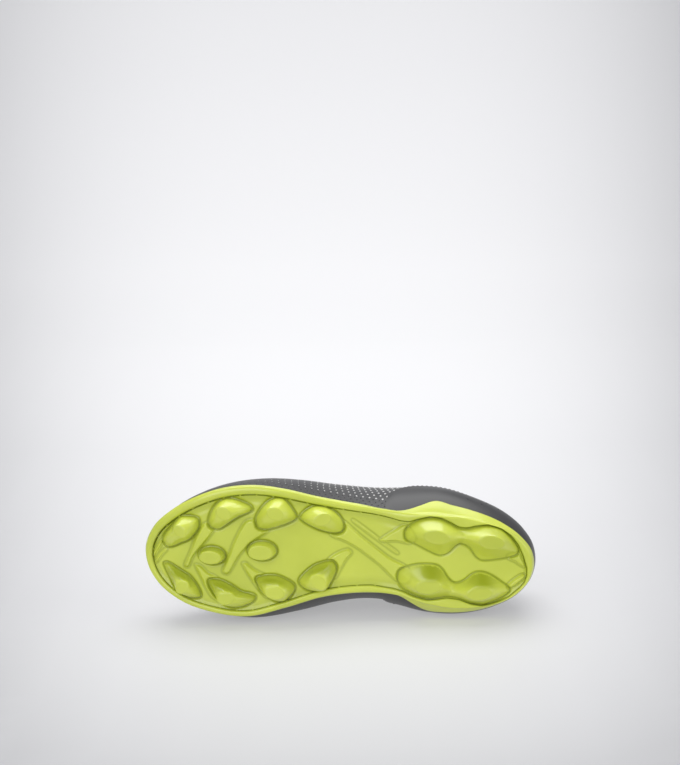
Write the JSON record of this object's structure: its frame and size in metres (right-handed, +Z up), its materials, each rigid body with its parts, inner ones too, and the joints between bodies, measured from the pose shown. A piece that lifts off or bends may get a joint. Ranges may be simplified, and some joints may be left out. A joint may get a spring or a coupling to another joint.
{
  "type": "soccer cleat",
  "caption": "Low-cut left soccer cleat with a charcoal textured upper and a glossy yellow-green moulded stud outsole, lying on its medial side.",
  "frame": {"origin": "On the floor under the middle of the lying shoe's box.", "axes": "+X towards the heel (the toe points to -X), +Y towards the collar (the studs face -Y), +Z up, from the medial side on the floor to the lateral side on top."},
  "size_m": [0.2844, 0.1178, 0.103],
  "materials": {
    "moulded_lime": "glossy",
    "charcoal_upper": "fine pebbled synthetic leather",
    "dark_panel": "satin",
    "lining": "soft knit",
    "lace_weave": "flat woven"
  },
  "bodies": {
    "root": {"outsole": "moulded_lime", "upper": "charcoal_upper", "insole": "lining", "tongue": "charcoal_upper", "heel_counter": "dark_panel", "eyestay": "dark_panel", "lace": "lace_weave"}
  },
  "joints": []
}
